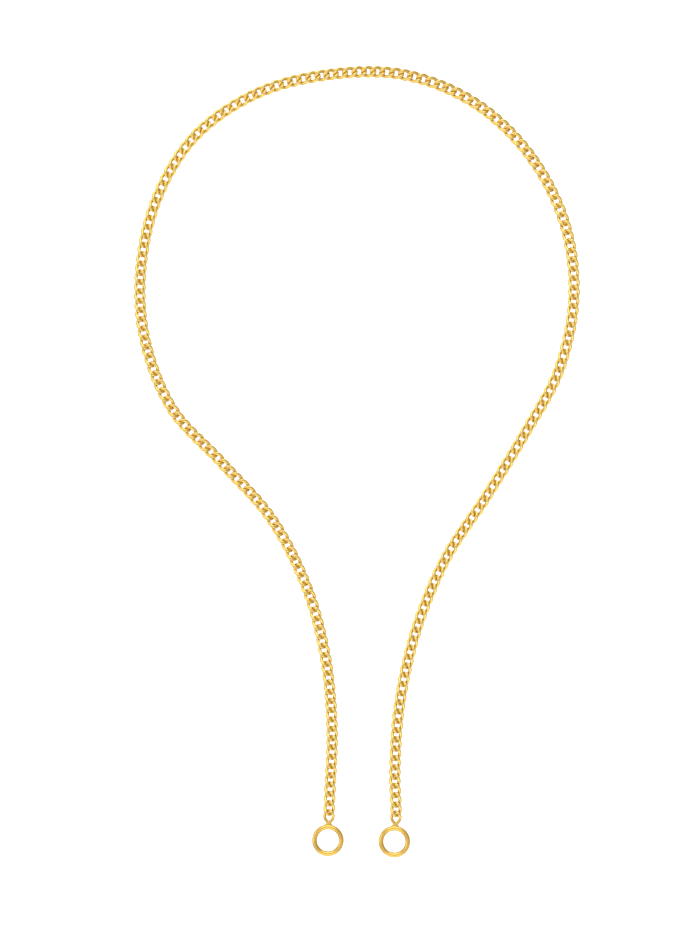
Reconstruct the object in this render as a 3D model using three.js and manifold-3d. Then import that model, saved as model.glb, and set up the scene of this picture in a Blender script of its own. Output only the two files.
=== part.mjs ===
// Open-ended curb chain necklace, millimetres, +Z up.
//
// The necklace lies flat on the plane z = 0, spread in a keyhole-shaped loop: one broad round
// bend at the +Y end and two strands that run side by side to a closed ring each at the -Y end.
// The origin is the middle of its outline, on the surface it lies on.
//
// A curb chain is a row of equal oval links, each one twisted so that the chain lies flat: a link's
// end passes over its neighbour on one side and under it on the other. The links are drawn here in
// short runs. Inside a run the links touch and are joined. From one run to the next they only hook
// through each other, with play all round, so each run is a rigid piece that can move.
import * as THREE from "three";
import { mergeVertices } from "three/addons/utils/BufferGeometryUtils.js";
import Module from "manifold-3d";

const wasm = await Module();
wasm.setup();

// Middle line of the necklace, from the centre of one ring to the centre of the other, as [x, y].
const ROUTE = [
  [-7, -90], [-6.5, -78], [-6, -64], [-7.5, -47], // left strand, straight up from its ring
  [-12, -30], [-20.5, -13.5], [-32.5, 0], [-44, 12.5], // outwards, and over the turning point
  [-50.5, 29], [-51.5, 45.5], [-47.5, 63], [-38.5, 77.5], // left side of the round bend
  [-24, 87.5], [-7, 92], [11, 92], [27.5, 85.5], // its top
  [40.5, 73.5], [49, 57.5], [51.5, 40], [48, 22], // its right side
  [40, 7], [30.5, -8.5], [21, -23], // inwards again
  [14, -40], [10, -58], [8.9, -75], [9.2, -82.5], [8.8, -90.3], // right strand, down to its ring
];

// The chain.
const ARM_RUNS = 24; // runs on each side of the middle run
const RUN_LINKS = 4;
const MIDDLE_RUN_LINKS = 5;
const LINK_COUNT = MIDDLE_RUN_LINKS + 2 * ARM_RUNS * RUN_LINKS;

// One link.
const LINK_WIDTH = 2.83; // across the chain, outside to outside
const WIRE_WIDTH = 0.69; // seen from above
const WIRE_HEIGHT = 0.46; // the wire is rolled a little flat
const TWIST_RISE = 0.38; // how far the twist lifts each quarter of the link off its middle plane
const JOINED_BY = 0.03; // how deep neighbouring links of one run sink into each other
const PLAY = 0.08; // free space between the hooked links of two runs

// The rings and the links that hold them.
const RING_OUTER = 7.54;
const RING_WIRE = 1.16;
const RING_REACH = 7.72; // from a ring's centre to the centre of the last curb link
const NECK_WIDTH = 1.35; // the end link is pinched to this width where it meets the ring
const SOLDER_GAP = 0.02;

// Fineness of the shapes.
const LINK_SIDES = 8;
const RING_SIDES = 28;
const RING_FACETS = 8;

const GOLD = { color: 0xe2b04a, roughness: 0.18, metalness: 1 };

const route = new THREE.CatmullRomCurve3(ROUTE.map(([x, y]) => new THREE.Vector3(x, y, 0)));
route.arcLengthDivisions = 2400;
const ROUTE_LENGTH = route.getLength();
const PITCH = (ROUTE_LENGTH - 2 * RING_REACH) / (LINK_COUNT - 1);

// Each run is stretched a little about its own middle, so that its links close up on each other
// and leave the play between it and the next run.
const STRETCH = (JOINED_BY + PLAY) / RUN_LINKS;
const HALF_LENGTH = (PITCH + STRETCH + WIRE_WIDTH - JOINED_BY) / 2; // to the middle of the end wire
const HALF_WIDTH = (LINK_WIDTH - WIRE_WIDTH) / 2;
const CHAIN_MIDDLE = TWIST_RISE + WIRE_HEIGHT / 2; // height of the links' middle plane

const necklace = new THREE.Group();
necklace.name = "chain_necklace";

function addPiece(name, geometry) {
  const piece = new THREE.Mesh(geometry, new THREE.MeshStandardMaterial(GOLD));
  piece.name = name;
  necklace.add(piece);
}

// A closed geometry with nothing but its positions left, each corner kept once.
function bare(geometry) {
  geometry.deleteAttribute("normal");
  geometry.deleteAttribute("uv");
  return mergeVertices(geometry, 1e-4);
}

function toSolid(geometry) {
  return new wasm.Manifold(
    new wasm.Mesh({
      numProp: 3,
      vertProperties: geometry.attributes.position.array,
      triVerts: new Uint32Array(geometry.index.array),
    }),
  );
}

function toGeometry(solid) {
  const { vertProperties, triVerts } = solid.getMesh();
  const geometry = new THREE.BufferGeometry();
  geometry.setAttribute("position", new THREE.BufferAttribute(vertProperties, 3));
  geometry.setIndex(new THREE.BufferAttribute(triVerts, 1));
  return geometry;
}

// A ring of rectangular wire on which shape(turn) sets, for each corner of the link's outline, how
// far it lies from the middle along and across the chain, and how high.
function wireLoop(shape) {
  const loop = new THREE.TorusGeometry(2, 1, 4, LINK_SIDES);
  const corner = loop.attributes.position;
  const halfSide = Math.PI / LINK_SIDES;
  const toCorner = 1 / Math.cos(halfSide); // from the middle of a side to a corner of the outline
  for (let i = 0; i < corner.count; i += 1) {
    const turn = Math.atan2(corner.getY(i), corner.getX(i)) + halfSide;
    const outward = Math.hypot(corner.getX(i), corner.getY(i)) - 2;
    const upward = corner.getZ(i);
    // The torus has a square section that stands on its edge. This turns it onto its side.
    const across = ((outward - upward) * WIRE_WIDTH) / 2;
    const above = ((outward + upward) * WIRE_HEIGHT) / 2;
    const { halfLength, halfWidth, rise } = shape(turn);
    corner.setXYZ(
      i,
      (halfLength + across) * Math.cos(turn) * toCorner,
      (halfWidth + across) * Math.sin(turn) * toCorner,
      rise + above,
    );
  }
  return bare(loop);
}

// The twist: opposite quarters of a link are lifted, the other two are lowered.
function twist(turn) {
  return (-TWIST_RISE * Math.sin(2 * turn)) / Math.sin(Math.PI / 4);
}

function curbLink() {
  return wireLoop((turn) => ({
    halfLength: HALF_LENGTH,
    halfWidth: HALF_WIDTH,
    rise: twist(turn),
  }));
}

// The end link hooks into the chain with its twisted half. Its other half, towards +X, lies flat
// and is pinched to a neck.
function endLink() {
  const neck = (NECK_WIDTH - WIRE_WIDTH) / 2 / Math.tan(Math.PI / LINK_SIDES);
  return wireLoop((turn) => {
    const nearRing = Math.abs(turn) < Math.PI / 4;
    const hooked = Math.cos(turn) < 0;
    return {
      halfLength: HALF_LENGTH,
      halfWidth: nearRing ? neck : HALF_WIDTH,
      rise: hooked ? twist(turn) : 0,
    };
  });
}

// The ring's wire has a flat underside and top, one facet wide.
function ring() {
  const toFacetCorner = RING_WIRE / 2 / Math.cos(Math.PI / RING_FACETS);
  const wireCircle = (RING_OUTER - RING_WIRE) / 2;
  const profile = [];
  for (let i = 0; i <= RING_FACETS; i += 1) {
    const turn = ((2 * (i % RING_FACETS) + 1) * Math.PI) / RING_FACETS;
    profile.push(
      new THREE.Vector2(
        wireCircle + toFacetCorner * Math.cos(turn),
        toFacetCorner * Math.sin(turn),
      ),
    );
  }
  const geometry = new THREE.LatheGeometry(profile, RING_SIDES);
  geometry.rotateX(Math.PI / 2);
  return bare(geometry);
}

// Places a geometry on the route, distance mm from its start, with its own +X along the route.
function onRoute(geometry, distance, height, halfTurn) {
  const share = distance / ROUTE_LENGTH;
  const point = route.getPointAt(share);
  const along = route.getTangentAt(share);
  const heading = Math.atan2(along.y, along.x) + (halfTurn ? Math.PI : 0);
  return geometry
    .clone()
    .rotateZ(heading)
    .translate(point.x, point.y, height);
}

const oneLink = curbLink();

// A run of count links, the first of them number first along the route, joined into one piece.
function chainRun(first, count) {
  let run = null;
  for (let i = 0; i < count; i += 1) {
    const stretched = (i - (count - 1) / 2) * STRETCH;
    const distance = RING_REACH + (first + i) * PITCH + stretched;
    const link = toSolid(onRoute(oneLink, distance, CHAIN_MIDDLE, false));
    run = run ? run.add(link) : link;
  }
  return toGeometry(run);
}

// The middle run, then the runs of both arms, numbered outwards from it.
const middleFirst = ARM_RUNS * RUN_LINKS;
addPiece("middle_run", chainRun(middleFirst, MIDDLE_RUN_LINKS));
for (let k = 1; k <= ARM_RUNS; k += 1) {
  const number = String(k).padStart(2, "0");
  const leftFirst = middleFirst - k * RUN_LINKS;
  const rightFirst = middleFirst + MIDDLE_RUN_LINKS + (k - 1) * RUN_LINKS;
  addPiece("left_run_" + number, chainRun(leftFirst, RUN_LINKS));
  addPiece("right_run_" + number, chainRun(rightFirst, RUN_LINKS));
}

// A ring lies at each end of the route. The end link stands against it and hooks into the last
// curb link.
const endLinkReach = RING_OUTER / 2 + SOLDER_GAP + WIRE_WIDTH / 2 + HALF_LENGTH;
const oneEndLink = endLink();
const oneRing = ring();
addPiece("left_end_link", onRoute(oneEndLink, endLinkReach, CHAIN_MIDDLE, true));
addPiece("left_ring", onRoute(oneRing, 0, RING_WIRE / 2, false));
addPiece(
  "right_end_link",
  onRoute(oneEndLink, ROUTE_LENGTH - endLinkReach, CHAIN_MIDDLE, false),
);
addPiece("right_ring", onRoute(oneRing, ROUTE_LENGTH, RING_WIRE / 2, false));

export default necklace;
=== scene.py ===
import bisect
import math
import random

import bmesh
import bpy
from mathutils import Matrix, Vector
from mathutils.geometry import interpolate_bezier


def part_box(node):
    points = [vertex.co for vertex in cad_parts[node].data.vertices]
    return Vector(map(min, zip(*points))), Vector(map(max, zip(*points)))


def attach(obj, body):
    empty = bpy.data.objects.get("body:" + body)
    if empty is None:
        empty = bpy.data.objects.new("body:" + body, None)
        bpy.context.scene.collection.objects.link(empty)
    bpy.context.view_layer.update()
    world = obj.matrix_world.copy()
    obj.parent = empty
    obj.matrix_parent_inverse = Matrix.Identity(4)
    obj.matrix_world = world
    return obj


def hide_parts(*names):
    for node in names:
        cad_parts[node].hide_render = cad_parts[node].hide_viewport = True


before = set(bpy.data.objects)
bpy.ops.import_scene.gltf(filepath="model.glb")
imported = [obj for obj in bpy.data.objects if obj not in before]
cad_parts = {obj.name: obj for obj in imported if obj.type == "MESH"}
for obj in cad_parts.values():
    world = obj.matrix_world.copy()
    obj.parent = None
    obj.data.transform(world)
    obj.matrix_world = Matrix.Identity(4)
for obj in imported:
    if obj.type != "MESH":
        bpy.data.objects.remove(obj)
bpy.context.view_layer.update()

# A flat curb chain with a closed ring soldered on at each end. Lengths are in metres. The necklace
# lies on z = 0 with its round bend towards +Y and its two rings towards -Y.

bl_info = {
    "name": "Curb chain necklace",
    "version": (1, 0, 0),
    "blender": (4, 5, 0),
    "location": "3D View > Sidebar > Necklace",
    "description": "Makes the links, rings, finish and stage of an open-ended curb chain necklace",
    "category": "Add Mesh",
}

# The middle line of the necklace, from the centre of one ring to the centre of the other.
ROUTE = (
    (-0.0070, -0.0900), (-0.0065, -0.0780), (-0.0060, -0.0640), (-0.0075, -0.0470),
    (-0.0120, -0.0300), (-0.0205, -0.0135), (-0.0325, 0.0000), (-0.0440, 0.0125),
    (-0.0505, 0.0290), (-0.0515, 0.0455), (-0.0475, 0.0630), (-0.0385, 0.0775),
    (-0.0240, 0.0875), (-0.0070, 0.0920), (0.0110, 0.0920), (0.0275, 0.0855),
    (0.0405, 0.0735), (0.0490, 0.0575), (0.0515, 0.0400), (0.0480, 0.0220),
    (0.0400, 0.0070), (0.0305, -0.0085), (0.0210, -0.0230),
    (0.0140, -0.0400), (0.0100, -0.0580), (0.0089, -0.0750), (0.0092, -0.0825),
    (0.0088, -0.0903),
)
STEPS_PER_SPAN = 100

# How the chain is divided: a middle run and equal runs outwards on both arms.
ARM_RUNS = 24
RUN_LINKS = 4
MIDDLE_RUN_LINKS = 5
RING_REACH = 0.00772  # from a ring's centre to the centre of the last curb link
RUN_STRETCH = 0.0000275  # the links of a run stand this much further apart than the pitch

SIDES = ("left", "right")

# Fineness of the cages that are smoothed into wire: corners round the loop, sides of the section.
LINK_CORNERS = 12
LINK_WIRE_SIDES = 6
RING_CORNERS = 32
RING_WIRE_SIDES = 10
SOLDER_SIDES = 8
SMOOTHING_LEVELS = 2

# The links' shape.
END_SPACING = 0.99  # between the end wires of hooked links, as a share of the wire's width
PINCH_SHARPNESS = 2.6  # higher brings the end link's pinch closer to its ring
FLAT_SHARPNESS = 0.5  # crease at the edge of a rolled flat
FLAT_SHARE = 0.999  # a vertex above this share of the rolled height lies on a flat

# Where links rub, which makes the metal rougher, and where painted shade deepens the colour between
# links: from this share of a link's half length outwards, on the inside of its wire.
RUB_SHADE_START = 0.45
RUB_SHADE_STRENGTH = 1.6
RUB_SHADE_INSIDE = 0.4
# The flats on top of the links are painted paler as a highlight.
HIGHLIGHT_SHARE = 0.93  # flats are bright above this share of a link's height

MARK_DEPTH = 0.00001  # of the haze and scratches in the polish

# Tones of gold, from 0 to 1. Each curb link draws its own.
TONE_SEED = 7
END_LINK_TONE = 0.4
RING_TONE = 0.5
SOLDER_TONE = 0.6


class Route:
    """A smooth line through points, measured along its length."""

    def __init__(self, points):
        knots = [Vector((x, y, 0.0)) for x, y in points]
        knots = [2 * knots[0] - knots[1], *knots, 2 * knots[-1] - knots[-2]]
        self.points = [knots[1]]
        for before, start, end, after in zip(knots, knots[1:], knots[2:], knots[3:]):
            gap_in = math.sqrt((start - before).length)
            gap = math.sqrt((end - start).length)
            gap_out = math.sqrt((after - end).length)
            across_start = (end - before) / (gap_in + gap)
            across_end = (after - start) / (gap + gap_out)
            leave = (start - before) / gap_in - across_start + (end - start) / gap
            arrive = (end - start) / gap - across_end + (after - end) / gap_out
            span = interpolate_bezier(
                start, start + leave * gap / 3, end - arrive * gap / 3, end, STEPS_PER_SPAN + 1
            )
            self.points += span[1:]
        self.lengths = [0.0]
        for a, b in zip(self.points, self.points[1:]):
            self.lengths.append(self.lengths[-1] + (b - a).length)
        self.length = self.lengths[-1]

    def placement(self, distance, height, facing_back=False):
        """The matrix that lays a piece on the route with its own +X along it."""
        i = bisect.bisect_left(self.lengths, distance, 1, len(self.lengths) - 1)
        a, b = self.points[i - 1], self.points[i]
        share = (distance - self.lengths[i - 1]) / (self.lengths[i] - self.lengths[i - 1])
        heading = math.atan2(b.y - a.y, b.x - a.x) + (math.pi if facing_back else 0.0)
        place = a.lerp(b, share) + Vector((0.0, 0.0, height))
        return Matrix.Translation(place) @ Matrix.Rotation(heading, 4, "Z")


ROUTE_LINE = Route(ROUTE)
LINK_COUNT = MIDDLE_RUN_LINKS + 2 * ARM_RUNS * RUN_LINKS
PITCH = (ROUTE_LINE.length - 2 * RING_REACH) / (LINK_COUNT - 1)
CHAIN_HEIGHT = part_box("middle_run")[1].z


class NecklaceSizes(bpy.types.PropertyGroup):
    """The sizes of the links and rings."""

    link_width: bpy.props.FloatProperty(
        name="Link width", description="Across the chain, outside to outside",
        default=0.00289, min=0.001, max=0.01, precision=5, unit="LENGTH",
    )
    wire_width: bpy.props.FloatProperty(
        name="Wire width", description="The link's wire as seen from above",
        default=0.00083, min=0.0002, max=0.003, precision=5, unit="LENGTH",
    )
    wire_height: bpy.props.FloatProperty(
        name="Wire height", description="The link's wire as seen from the side",
        default=0.00050, min=0.0002, max=0.003, precision=5, unit="LENGTH",
    )
    end_wire_width: bpy.props.FloatProperty(
        name="End link wire width", description="The end link's wire as seen from above",
        default=0.00074, min=0.0002, max=0.003, precision=5, unit="LENGTH",
    )
    twist_rise: bpy.props.FloatProperty(
        name="Twist rise", description="How far the twist lifts each quarter of a link",
        default=0.00044, min=0.0, max=0.002, precision=5, unit="LENGTH",
    )
    upper_slant: bpy.props.FloatProperty(
        name="Upper slant",
        description="1 is a plain oval, more runs the lifted quarters slantwise",
        default=1.20, min=0.5, max=2.0, subtype="FACTOR",
    )
    lower_slant: bpy.props.FloatProperty(
        name="Lower slant", description="The same for the lowered quarters",
        default=1.08, min=0.5, max=2.0, subtype="FACTOR",
    )
    ring_outer: bpy.props.FloatProperty(
        name="Ring outside", description="Outside diameter of the end rings",
        default=0.00754, min=0.003, max=0.02, precision=5, unit="LENGTH",
    )
    ring_wire: bpy.props.FloatProperty(
        name="Ring wire", description="Thickness of the end rings' wire",
        default=0.00116, min=0.0003, max=0.004, precision=5, unit="LENGTH",
    )
    neck_width: bpy.props.FloatProperty(
        name="Neck width", description="The end link's width where it meets the ring",
        default=0.00140, min=0.0006, max=0.004, precision=5, unit="LENGTH",
    )


class NecklaceColours(bpy.types.PropertyGroup):
    """The colours of the gold."""

    gold: bpy.props.FloatVectorProperty(
        name="Gold", description="Colour of the polished metal",
        default=(0.93, 0.645, 0.168), min=0.0, max=1.0, size=3, subtype="COLOR",
    )
    ring_gold: bpy.props.FloatVectorProperty(
        name="Ring gold", description="Colour of the rings and end links",
        default=(0.96, 0.605, 0.138), min=0.0, max=1.0, size=3, subtype="COLOR",
    )
    # Deep gold comes with each link's own tone and the haze, and is also painted shade on the
    # inside of the links' ends.
    deep_and_shaded_gold: bpy.props.FloatVectorProperty(
        name="Deep gold", description="Colour where links rub and polish doesn't reach",
        default=(0.93, 0.68, 0.19), min=0.0, max=1.0, size=3, subtype="COLOR",
    )
    # Pale gold is a painted highlight on the flats on top of the links.
    painted_highlight_gold: bpy.props.FloatVectorProperty(
        name="Pale gold", description="Colour of the flats that were cut bright",
        default=(0.96, 0.725, 0.215), min=0.0, max=1.0, size=3, subtype="COLOR",
    )


# ---------------------------------------------------------------- shapes


def to_mesh(bm, name):
    mesh = bpy.data.meshes.new(name)
    bm.to_mesh(mesh)
    bm.free()
    return mesh


def shade_smooth(bm):
    for face in bm.faces:
        face.smooth = True


def cage_growth(corners):
    """How much larger a round cage of so many corners is than the smooth shape drawn inside it."""
    return 3 / (2 + math.cos(2 * math.pi / corners))


def rounded(value, power):
    """A cosine or sine raised to a power, which keeps its sign."""
    return math.copysign(abs(value) ** power, value)


def wire_loop(corners, sides, outline, half_width, half_height):
    """A closed loop of wire: a section is spun full circle and then drawn out to an outline.

    outline(turn) gives a point on the middle of the wire. Two vertex layers say where on the
    section a vertex lies: "outward" from -1 inside the loop to 1 outside, and "upward" likewise.
    """
    bm = bmesh.new()
    outward = bm.verts.layers.float.new("outward")
    upward = bm.verts.layers.float.new("upward")
    bmesh.ops.create_circle(bm, segments=sides, radius=1.0)
    lie_flat = Matrix.Rotation(math.pi / sides, 4, "Z")
    stand_up = Matrix.Rotation(math.radians(90), 4, "X")
    bmesh.ops.transform(bm, matrix=stand_up @ lie_flat, verts=bm.verts)
    for vert in bm.verts:
        vert[outward] = vert.co.x
        vert[upward] = vert.co.z
    spin_radius = 3.0
    bmesh.ops.translate(bm, vec=(spin_radius, 0.0, 0.0), verts=bm.verts)
    bmesh.ops.spin(
        bm, geom=bm.verts[:] + bm.edges[:], cent=(0, 0, 0), axis=(0, 0, 1), dvec=(0, 0, 0),
        angle=2 * math.pi, steps=corners, use_merge=True, use_duplicate=False,
    )
    bmesh.ops.recalc_face_normals(bm, faces=bm.faces)
    small_turn = 0.01
    growth = cage_growth(sides)
    for vert in bm.verts:
        turn = math.atan2(vert.co.y, vert.co.x)
        middle = outline(turn)
        along = outline(turn + small_turn) - outline(turn - small_turn)
        out = Vector((along.y, -along.x, 0.0)).normalized()
        vert.co = middle + out * (vert[outward] * half_width * growth)
        vert.co.z += vert[upward] * half_height * growth
    shade_smooth(bm)
    return bm


def curb_outline(sizes, wire_width, turn):
    """The middle of a curb link's wire: an oval whose opposite quarters are lifted and lowered."""
    growth = cage_growth(LINK_CORNERS)
    half_length = (PITCH + END_SPACING * wire_width) / 2 * growth
    half_width = (sizes.link_width - wire_width) / 2 * growth
    lift = -math.sin(2 * turn)
    power = sizes.upper_slant if lift > 0 else sizes.lower_slant
    return Vector((
        half_length * rounded(math.cos(turn), power),
        half_width * rounded(math.sin(turn), power),
        sizes.twist_rise * lift,
    ))


def end_outline(sizes, turn):
    """The end link: its -X half hooks into the chain, its +X half is flat and pinched to a neck."""
    point = curb_outline(sizes, sizes.end_wire_width, turn)
    if math.cos(turn) <= 0:
        return point
    wire_width = sizes.end_wire_width
    neck = (sizes.neck_width - wire_width) / (sizes.link_width - wire_width)
    pinch = math.cos(turn) ** PINCH_SHARPNESS
    point.y *= 1 - (1 - neck) * pinch
    point.z = 0.0
    return point


def roll_flat(bm, half_thickness):
    """Flattens all that stands above or below the rolled chain, and sharpens the flats' edges."""
    for vert in bm.verts:
        vert.co.z = max(-half_thickness, min(half_thickness, vert.co.z))
    crease = bm.edges.layers.float.new("crease_edge")
    flat_from = half_thickness * FLAT_SHARE
    for edge in bm.edges:
        rolled = [all(abs(v.co.z) > flat_from for v in face.verts) for face in edge.link_faces]
        if any(rolled) and not all(rolled):
            edge[crease] = FLAT_SHARPNESS


def mark_wear_and_painted_light(bm):
    """Writes the two vertex attributes that the finish reads.

    hooked is 1 on the inside of a link's ends, where its neighbour rubs and where shade between
    links is painted into the colour; bright is 1 on the flats, which are painted paler as a
    highlight.
    """
    hooked = bm.verts.layers.float.new("hooked")
    bright = bm.verts.layers.float.new("bright")
    outward = bm.verts.layers.float["outward"]
    top = max(vert.co.z for vert in bm.verts)
    reach = max(vert.co.x for vert in bm.verts)
    for vert in bm.verts:
        end = max(0.0, abs(vert.co.x) / reach - RUB_SHADE_START) / (1.0 - RUB_SHADE_START)
        vert[hooked] = min(1.0, RUB_SHADE_STRENGTH * end * max(0.0, RUB_SHADE_INSIDE - vert[outward]))
        vert[bright] = 1.0 if abs(vert.co.z) > HIGHLIGHT_SHARE * top else 0.0


def link_mesh(name, outline, wire_width, wire_height):
    bm = wire_loop(LINK_CORNERS, LINK_WIRE_SIDES, outline, wire_width / 2, wire_height / 2)
    roll_flat(bm, CHAIN_HEIGHT / 2)
    mark_wear_and_painted_light(bm)
    return to_mesh(bm, name)


def add_copy(bm, mesh, placement, tone):
    """Adds a copy of a mesh to bm at its placement, with its own tone of gold."""
    first = len(bm.verts)
    bm.from_mesh(mesh)
    tones = bm.verts.layers.float.get("tone") or bm.verts.layers.float.new("tone")
    bm.verts.ensure_lookup_table()
    new = bm.verts[first:]
    for vert in new:
        vert[tones] = tone
    bmesh.ops.transform(bm, matrix=placement, verts=new)


def finish_piece(bm, name, material, body, node):
    """Makes the object, gives it its finish and lets it stand for a CAD node, if it has one."""
    piece = bpy.data.objects.new(name, to_mesh(bm, name))
    bpy.context.collection.objects.link(piece)
    piece.data.materials.append(material)
    smooth = piece.modifiers.new("Smooth", "SUBSURF")
    smooth.levels = SMOOTHING_LEVELS
    smooth.render_levels = SMOOTHING_LEVELS
    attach(piece, body)
    if node:
        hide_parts(node)


# ---------------------------------------------------------------- finish


def new_group(name, inputs, outputs):
    group = bpy.data.node_groups.new(name, "ShaderNodeTree")
    for socket, kind, value in inputs:
        made = group.interface.new_socket(socket, in_out="INPUT", socket_type=kind)
        made.default_value = value
    for socket, kind in outputs:
        group.interface.new_socket(socket, in_out="OUTPUT", socket_type=kind)
    return group


def add_node(tree, kind, **values):
    node = tree.nodes.new(kind)
    for name, value in values.items():
        setattr(node, name, value)
    return node


def add_range(tree, from_min=0.0, from_max=1.0, to_min=0.0, to_max=1.0, **values):
    node = add_node(tree, "ShaderNodeMapRange", **values)
    node.inputs["From Min"].default_value = from_min
    node.inputs["From Max"].default_value = from_max
    node.inputs["To Min"].default_value = to_min
    node.inputs["To Max"].default_value = to_max
    return node


def metal_marks_group():
    """Polishing haze as a mask, and the haze with fine handling scratches as a height."""
    group = bpy.data.node_groups.get("metal_marks")
    if group:
        return group
    group = new_group(
        "metal_marks",
        [("Scale", "NodeSocketFloat", 1.0)],
        [("Haze", "NodeSocketFloat"), ("Height", "NodeSocketFloat")],
    )
    link = group.links.new
    source = add_node(group, "NodeGroupInput")
    result = add_node(group, "NodeGroupOutput")
    place = add_node(group, "ShaderNodeTexCoord")
    scaled = add_node(group, "ShaderNodeVectorMath", operation="SCALE")
    link(place.outputs["Object"], scaled.inputs[0])
    link(source.outputs["Scale"], scaled.inputs["Scale"])
    haze = add_node(group, "ShaderNodeTexNoise")
    haze.inputs["Scale"].default_value = 900.0
    haze.inputs["Detail"].default_value = 4.0
    link(scaled.outputs[0], haze.inputs["Vector"])
    haze_range = add_range(group, from_min=0.35, from_max=0.70)
    link(haze.outputs["Fac"], haze_range.inputs["Value"])
    stretched = add_node(group, "ShaderNodeMapping")
    stretched.inputs["Rotation"].default_value = (0.3, 0.2, 0.7)
    stretched.inputs["Scale"].default_value = (1.0, 12.0, 3.0)
    link(scaled.outputs[0], stretched.inputs["Vector"])
    scratch = add_node(group, "ShaderNodeTexNoise")
    scratch.inputs["Scale"].default_value = 2200.0
    scratch.inputs["Detail"].default_value = 2.0
    link(stretched.outputs[0], scratch.inputs["Vector"])
    scratch_range = add_range(group, from_min=0.62, from_max=0.72)
    link(scratch.outputs["Fac"], scratch_range.inputs["Value"])
    scratch_height = -0.6
    lowered = add_node(group, "ShaderNodeMath", operation="MULTIPLY_ADD")
    lowered.inputs[1].default_value = scratch_height
    link(scratch_range.outputs[0], lowered.inputs[0])
    link(haze.outputs["Fac"], lowered.inputs[2])
    link(haze_range.outputs[0], result.inputs["Haze"])
    link(lowered.outputs[0], result.inputs["Height"])
    return group


def gold_tone_group():
    """The colour of the gold: painted paler on the flats as a highlight, painted deeper as shade
    where links rub, uneven in between.
    """
    group = bpy.data.node_groups.get("gold_tone")
    if group:
        return group
    group = new_group(
        "gold_tone",
        [
            ("Gold", "NodeSocketColor", (1.0, 0.7, 0.2, 1.0)),
            ("Deep", "NodeSocketColor", (0.8, 0.45, 0.1, 1.0)),
            ("Pale", "NodeSocketColor", (1.0, 0.8, 0.4, 1.0)),
            ("Hooked", "NodeSocketFloat", 0.0),
            ("Bright", "NodeSocketFloat", 0.0),
            ("Haze", "NodeSocketFloat", 0.0),
            ("Tone", "NodeSocketFloat", 0.5),
        ],
        [("Color", "NodeSocketColor")],
    )
    link = group.links.new
    source = add_node(group, "NodeGroupInput")
    result = add_node(group, "NodeGroupOutput")
    # The mix towards pale on the flats is a painted highlight, and hooked mixes in deep gold as
    # painted shade.
    highlight_share, haze_share, tone_share = 0.75, 0.18, 0.20
    flats = add_node(group, "ShaderNodeMath", operation="MULTIPLY")
    flats.inputs[1].default_value = highlight_share
    link(source.outputs["Bright"], flats.inputs[0])
    with_highlight = add_node(group, "ShaderNodeMix", data_type="RGBA")
    link(flats.outputs[0], with_highlight.inputs[0])
    link(source.outputs["Gold"], with_highlight.inputs[6])
    link(source.outputs["Pale"], with_highlight.inputs[7])
    uneven = add_node(group, "ShaderNodeMath", operation="MULTIPLY_ADD", use_clamp=True)
    uneven.inputs[1].default_value = haze_share
    link(source.outputs["Haze"], uneven.inputs[0])
    link(source.outputs["Hooked"], uneven.inputs[2])
    toned = add_node(group, "ShaderNodeMath", operation="MULTIPLY_ADD", use_clamp=True)
    toned.inputs[1].default_value = tone_share
    link(source.outputs["Tone"], toned.inputs[0])
    link(uneven.outputs[0], toned.inputs[2])
    deeper = add_node(group, "ShaderNodeMix", data_type="RGBA")
    link(toned.outputs[0], deeper.inputs[0])
    link(with_highlight.outputs[2], deeper.inputs[6])
    link(source.outputs["Deep"], deeper.inputs[7])
    link(deeper.outputs[2], result.inputs["Color"])
    return group


def gold_material(name, gold, marks_scale, smooth, satin, bump):
    """Polished gold. smooth and satin are the roughness of its clearest and dullest places."""
    made = bpy.data.materials.get(name)
    if made:
        return made
    colours = bpy.context.scene.necklace_colours
    material = bpy.data.materials.new(name)
    material.use_nodes = True
    tree = material.node_tree
    link = tree.links.new
    shader = tree.nodes["Principled BSDF"]
    shader.inputs["Metallic"].default_value = 1.0
    marks = add_node(tree, "ShaderNodeGroup", node_tree=metal_marks_group())
    marks.inputs["Scale"].default_value = marks_scale
    tone = add_node(tree, "ShaderNodeGroup", node_tree=gold_tone_group())
    tone.inputs["Gold"].default_value = (*gold, 1.0)
    tone.inputs["Deep"].default_value = (*colours.deep_and_shaded_gold, 1.0)
    tone.inputs["Pale"].default_value = (*colours.painted_highlight_gold, 1.0)
    # hooked paints shade into the colour and makes the metal rougher where links rub; bright paints
    # a highlight on the flats.
    hooked = add_node(tree, "ShaderNodeAttribute", attribute_name="hooked")
    bright = add_node(tree, "ShaderNodeAttribute", attribute_name="bright")
    shade = add_node(tree, "ShaderNodeAttribute", attribute_name="tone")
    link(hooked.outputs["Fac"], tone.inputs["Hooked"])
    link(bright.outputs["Fac"], tone.inputs["Bright"])
    link(shade.outputs["Fac"], tone.inputs["Tone"])
    link(marks.outputs["Haze"], tone.inputs["Haze"])
    link(tone.outputs["Color"], shader.inputs["Base Color"])
    dull = add_node(tree, "ShaderNodeMath", operation="MAXIMUM")
    link(marks.outputs["Haze"], dull.inputs[0])
    link(hooked.outputs["Fac"], dull.inputs[1])
    rough = add_range(tree, to_min=smooth, to_max=satin)
    link(dull.outputs[0], rough.inputs["Value"])
    link(rough.outputs[0], shader.inputs["Roughness"])
    relief = add_node(tree, "ShaderNodeBump")
    relief.inputs["Strength"].default_value = bump
    relief.inputs["Distance"].default_value = MARK_DEPTH
    link(marks.outputs["Height"], relief.inputs["Height"])
    link(relief.outputs[0], shader.inputs["Normal"])
    return material


def chain_material():
    gold = bpy.context.scene.necklace_colours.gold
    return gold_material(
        "polished_chain_gold", gold, marks_scale=1.0, smooth=0.27, satin=0.42, bump=0.35
    )


def ring_material():
    gold = bpy.context.scene.necklace_colours.ring_gold
    return gold_material(
        "polished_ring_gold", gold, marks_scale=0.6, smooth=0.20, satin=0.32, bump=0.25
    )


# ---------------------------------------------------------------- operators


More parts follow.
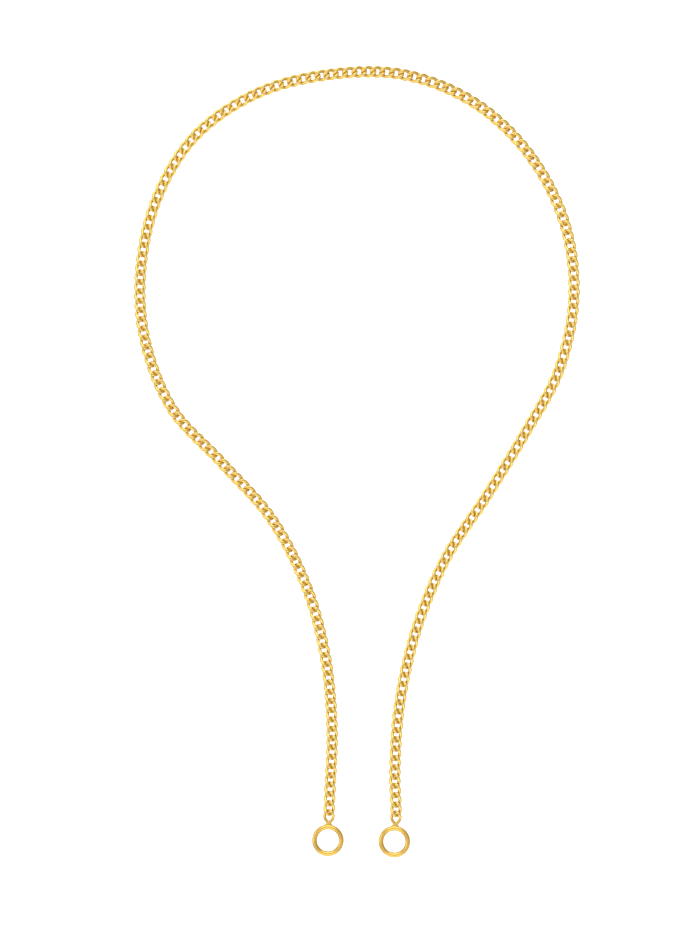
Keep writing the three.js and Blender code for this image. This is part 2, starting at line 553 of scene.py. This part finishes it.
class NECKLACE_OT_curb_runs(bpy.types.Operator):
    """Makes the curb links of every run of the chain"""

    bl_idname = "necklace.curb_runs"
    bl_label = "Curb links"

    def execute(self, context):
        sizes = context.scene.necklace_sizes
        link = link_mesh(
            "curb_link", lambda turn: curb_outline(sizes, sizes.wire_width, turn),
            sizes.wire_width, sizes.wire_height,
        )
        shades = random.Random(TONE_SEED)
        middle_first = ARM_RUNS * RUN_LINKS
        self.run("middle_run", middle_first, MIDDLE_RUN_LINKS, link, shades)
        for k in range(1, ARM_RUNS + 1):
            left_first = middle_first - k * RUN_LINKS
            right_first = middle_first + MIDDLE_RUN_LINKS + (k - 1) * RUN_LINKS
            self.run(f"left_run_{k:02d}", left_first, RUN_LINKS, link, shades)
            self.run(f"right_run_{k:02d}", right_first, RUN_LINKS, link, shades)
        bpy.data.meshes.remove(link)
        return {"FINISHED"}

    def run(self, node, first, count, link, shades):
        bm = bmesh.new()
        for i in range(count):
            stretched = (i - (count - 1) / 2) * RUN_STRETCH
            distance = RING_REACH + (first + i) * PITCH + stretched
            place = ROUTE_LINE.placement(distance, CHAIN_HEIGHT / 2)
            add_copy(bm, link, place, shades.random())
        finish_piece(bm, node + "_links", chain_material(), node, node)


class NECKLACE_OT_end_links(bpy.types.Operator):
    """Makes the pinched link at each end of the chain"""

    bl_idname = "necklace.end_links"
    bl_label = "End links"

    def execute(self, context):
        sizes = context.scene.necklace_sizes
        link = link_mesh(
            "end_link", lambda turn: end_outline(sizes, turn),
            sizes.end_wire_width, sizes.wire_height,
        )
        reach = sizes.ring_outer / 2 + sizes.end_wire_width + PITCH / 2
        for side in SIDES:
            distance = reach if side == "left" else ROUTE_LINE.length - reach
            bm = bmesh.new()
            place = ROUTE_LINE.placement(distance, CHAIN_HEIGHT / 2, side == "left")
            add_copy(bm, link, place, END_LINK_TONE)
            finish_piece(
                bm, f"{side}_end_link_wire", ring_material(),
                f"{side}_ring_end", f"{side}_end_link",
            )
        bpy.data.meshes.remove(link)
        return {"FINISHED"}


class NECKLACE_OT_rings(bpy.types.Operator):
    """Makes the closed ring at each end of the necklace"""

    bl_idname = "necklace.rings"
    bl_label = "Rings"

    def execute(self, context):
        sizes = context.scene.necklace_sizes
        half_wire = sizes.ring_wire / 2
        radius = (sizes.ring_outer / 2 - half_wire) * cage_growth(RING_CORNERS)

        def outline(turn):
            return Vector((radius * math.cos(turn), radius * math.sin(turn), 0.0))

        loop = wire_loop(RING_CORNERS, RING_WIRE_SIDES, outline, half_wire, half_wire)
        ring = to_mesh(loop, "ring")
        for side in SIDES:
            distance = 0.0 if side == "left" else ROUTE_LINE.length
            bm = bmesh.new()
            add_copy(bm, ring, ROUTE_LINE.placement(distance, half_wire), RING_TONE)
            finish_piece(
                bm, f"{side}_ring_wire", ring_material(),
                f"{side}_ring_end", f"{side}_ring",
            )
        bpy.data.meshes.remove(ring)
        return {"FINISHED"}


class NECKLACE_OT_solder(bpy.types.Operator):
    """Makes the solder web between each ring and its end link"""

    bl_idname = "necklace.solder"
    bl_label = "Solder"

    # Sections of the web from inside the ring's wire to inside the end link's point: distance from
    # the ring's outside edge, half width and half height.
    SECTIONS = (
        (-0.00055, 0.00150, 0.00036),
        (-0.00018, 0.00112, 0.00042),
        (0.00012, 0.00074, 0.00036),
        (0.00040, 0.00058, 0.00030),
        (0.00072, 0.00040, 0.00022),
    )

    def execute(self, context):
        sizes = context.scene.necklace_sizes
        web = self.web()
        to_edge = Matrix.Translation((sizes.ring_outer / 2, 0, 0))
        for side in SIDES:
            start = 0.0 if side == "left" else ROUTE_LINE.length
            place = ROUTE_LINE.placement(start, sizes.ring_wire / 2, side == "right")
            bm = bmesh.new()
            add_copy(bm, web, place @ to_edge, SOLDER_TONE)
            finish_piece(
                bm, f"{side}_solder", ring_material(), f"{side}_ring_end", None
            )
        bpy.data.meshes.remove(web)
        return {"FINISHED"}

    def web(self):
        """A closed web along +X: a round section is extruded from station to station."""
        bm = bmesh.new()
        section = bmesh.ops.create_circle(bm, segments=SOLDER_SIDES, radius=1.0)["verts"]
        first = section
        lie_flat = Matrix.Rotation(math.pi / SOLDER_SIDES, 4, "Z")
        stand_up = Matrix.Rotation(math.radians(90), 4, "X")
        across = Matrix.Rotation(math.radians(90), 4, "Z")
        bmesh.ops.transform(bm, matrix=across @ stand_up @ lie_flat, verts=section)
        last = (0.0, 1.0, 1.0)
        for i, (station, half_width, half_height) in enumerate(self.SECTIONS):
            if i > 0:
                edges = [e for e in bm.edges if all(v in section for v in e.verts)]
                made = bmesh.ops.extrude_edge_only(bm, edges=edges)["geom"]
                section = [v for v in made if isinstance(v, bmesh.types.BMVert)]
            grow = (1.0, half_width / last[1], half_height / last[2])
            bmesh.ops.scale(bm, vec=grow, verts=section)
            bmesh.ops.translate(bm, vec=(station - last[0], 0, 0), verts=section)
            last = (station, half_width, half_height)
        for verts in (first, section):
            bmesh.ops.contextual_create(bm, geom=verts)
        bmesh.ops.recalc_face_normals(bm, faces=bm.faces)
        shade_smooth(bm)
        return to_mesh(bm, "solder")


class NECKLACE_OT_stage(bpy.types.Operator):
    """Makes the pale floor, the soft light and the camera"""

    bl_idname = "necklace.stage"
    bl_label = "Stage"

    # The camera looks straight down on VIEW_CENTRE and takes in VIEW_LENGTH from top to bottom.
    VIEW_CENTRE = (-0.00175, -0.00114)
    VIEW_LENGTH = 0.222
    LENS = 100.0

    # Name, place, size and radiance of each panel of light.
    PANELS = (
        ("back_light", (0.0, 1.05, 0.75), 1.5, 0.90),
        ("front_light", (0.0, -1.05, 0.60), 1.1, 0.80),
        ("left_light", (-1.05, 0.0, 0.60), 0.8, 0.80),
    )

    # The surroundings are darker towards one side, with a soft edge given by two cosines.
    SHADED_SIDE = (0.85, 0.38, 0.40)
    SHADE_EDGE = (0.72, 0.95)
    OPEN_LIGHT = 0.71
    SHADED_LIGHT = 0.40

    FLOOR_HALF_SIZE = 1.5
    FLOOR_DROP = 0.00003  # keeps the floor just clear of the necklace's underside
    FLOOR_GREY = 0.7
    FLOOR_GLOW = 0.9

    def execute(self, context):
        self.floor(context)
        self.world(context)
        for values in self.PANELS:
            self.panel(context, *values)
        self.camera(context)
        context.scene.view_settings.view_transform = "Standard"
        return {"FINISHED"}

    def floor(self, context):
        bm = bmesh.new()
        bmesh.ops.create_grid(bm, x_segments=1, y_segments=1, size=self.FLOOR_HALF_SIZE)
        bmesh.ops.translate(bm, vec=(0, 0, -self.FLOOR_DROP), verts=bm.verts)
        floor = bpy.data.objects.new("floor", to_mesh(bm, "floor"))
        context.collection.objects.link(floor)
        material = bpy.data.materials.new("pale_floor")
        material.use_nodes = True
        tree = material.node_tree
        shader = tree.nodes["Principled BSDF"]
        grey = self.FLOOR_GREY
        shader.inputs["Base Color"].default_value = (grey, grey, grey, 1)
        shader.inputs["Roughness"].default_value = 0.9
        shader.inputs["Specular IOR Level"].default_value = 0.1
        shader.inputs["Emission Color"].default_value = (1, 1, 1, 1)
        # It glows towards the camera alone, so it is white and the metal isn't lit from below.
        ray = add_node(tree, "ShaderNodeLightPath")
        glow = add_node(tree, "ShaderNodeMath", operation="MULTIPLY")
        glow.inputs[1].default_value = self.FLOOR_GLOW
        tree.links.new(ray.outputs["Is Camera Ray"], glow.inputs[0])
        tree.links.new(glow.outputs[0], shader.inputs["Emission Strength"])
        floor.data.materials.append(material)

    def world(self, context):
        world = bpy.data.worlds.new("studio")
        world.use_nodes = True
        tree = world.node_tree
        background = tree.nodes["Background"]
        background.inputs["Color"].default_value = (1.0, 1.0, 1.0, 1)
        place = add_node(tree, "ShaderNodeTexCoord")
        towards = add_node(tree, "ShaderNodeVectorMath", operation="DOT_PRODUCT")
        towards.inputs[1].default_value = Vector(self.SHADED_SIDE).normalized()
        edge_start, edge_end = self.SHADE_EDGE
        strength = add_range(
            tree, edge_start, edge_end, self.OPEN_LIGHT, self.SHADED_LIGHT,
            interpolation_type="SMOOTHSTEP",
        )
        tree.links.new(place.outputs["Generated"], towards.inputs[0])
        tree.links.new(towards.outputs["Value"], strength.inputs["Value"])
        tree.links.new(strength.outputs["Result"], background.inputs["Strength"])
        context.scene.world = world

    def panel(self, context, name, place, size, radiance):
        """A square panel of soft light that faces the floor's middle."""
        lamp = bpy.data.lights.new(name, "AREA")
        lamp.shape = "SQUARE"
        lamp.size = size
        lamp.energy = radiance * math.pi * size * size
        holder = bpy.data.objects.new(name, lamp)
        holder.location = place
        holder.rotation_mode = "QUATERNION"
        holder.rotation_quaternion = (-Vector(place)).to_track_quat("-Z", "Y")
        holder.visible_camera = False
        context.collection.objects.link(holder)

    def camera(self, context):
        camera = bpy.data.cameras.new("camera")
        camera.lens = self.LENS
        holder = bpy.data.objects.new("camera", camera)
        height = self.VIEW_LENGTH * self.LENS / camera.sensor_width
        holder.location = (*self.VIEW_CENTRE, height)
        context.collection.objects.link(holder)
        context.scene.camera = holder


class NECKLACE_PT_panel(bpy.types.Panel):
    """Lists the steps that make the necklace"""

    bl_idname = "NECKLACE_PT_panel"
    bl_label = "Curb chain necklace"
    bl_space_type = "VIEW_3D"
    bl_region_type = "UI"
    bl_category = "Necklace"

    def draw(self, context):
        for group in (context.scene.necklace_sizes, context.scene.necklace_colours):
            box = self.layout.box()
            for name in group.__annotations__:
                box.prop(group, name)
        for operator in OPERATORS:
            self.layout.operator(operator.bl_idname)


OPERATORS = (
    NECKLACE_OT_stage,
    NECKLACE_OT_curb_runs,
    NECKLACE_OT_end_links,
    NECKLACE_OT_rings,
    NECKLACE_OT_solder,
)
CLASSES = (NecklaceSizes, NecklaceColours, *OPERATORS, NECKLACE_PT_panel)


def register():
    for cls in CLASSES:
        bpy.utils.register_class(cls)
    bpy.types.Scene.necklace_sizes = bpy.props.PointerProperty(type=NecklaceSizes)
    bpy.types.Scene.necklace_colours = bpy.props.PointerProperty(type=NecklaceColours)


def unregister():
    del bpy.types.Scene.necklace_colours
    del bpy.types.Scene.necklace_sizes
    for cls in reversed(CLASSES):
        bpy.utils.unregister_class(cls)


def main():
    register()
    bpy.ops.necklace.stage()
    bpy.ops.necklace.curb_runs()
    bpy.ops.necklace.end_links()
    bpy.ops.necklace.rings()
    bpy.ops.necklace.solder()


if __name__ == "__main__":
    main()
